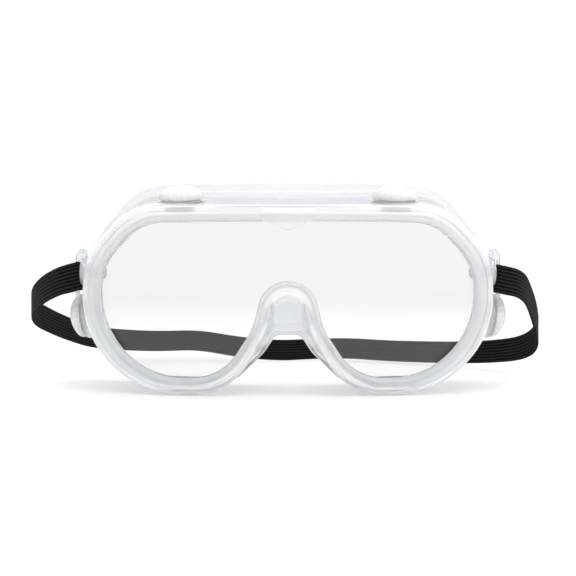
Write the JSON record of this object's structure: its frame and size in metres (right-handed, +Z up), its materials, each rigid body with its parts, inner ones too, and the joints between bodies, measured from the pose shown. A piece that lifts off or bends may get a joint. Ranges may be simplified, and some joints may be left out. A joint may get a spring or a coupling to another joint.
{
  "type": "safety goggles",
  "caption": "Clear soft-bodied safety goggles with a curved lens, round capped vents and a black elastic headband on swivelling hooks.",
  "frame": {"origin": "bottom centre of the goggles' own box, without the headband, on the surface that they stand on", "axes": "+X to the right when facing the lens, -Y out of the lens towards the front, +Z up"},
  "size_m": [0.2429, 0.172, 0.0902],
  "materials": {
    "soft_pvc": "clear soft vinyl, slightly blue, glossy",
    "lens_clear": "clear polished polycarbonate",
    "vent_white": "translucent white moulded plastic, satin",
    "hook_clear": "clear rigid plastic with a faint violet tint",
    "elastic": "black ribbed woven elastic"
  },
  "bodies": {
    "goggle": {"mask_body": "soft_pvc", "lens": "lens_clear", "vent_seat_top_left": "vent_white", "vent_cap_top_left": "vent_white", "vent_seat_top_right": "vent_white", "vent_cap_top_right": "vent_white", "vent_seat_side_left": "vent_white", "vent_cap_side_left": "vent_white", "vent_seat_side_right": "vent_white", "vent_cap_side_right": "vent_white", "hook_rivet_left": "hook_clear", "hook_rivet_right": "hook_clear"},
    "headband": {"strap_hook_left": "hook_clear", "strap_end_left": "elastic", "strap_hook_right": "hook_clear", "strap_end_right": "elastic", "head_strap": "elastic"}
  },
  "joints": [
    {"name": "headband_swing", "type": "hinge", "parent": "goggle", "child": "headband", "pos_m": [0, -0.004, 0.05], "axis": [1, 0, 0], "range_deg": [0, 75]}
  ]
}
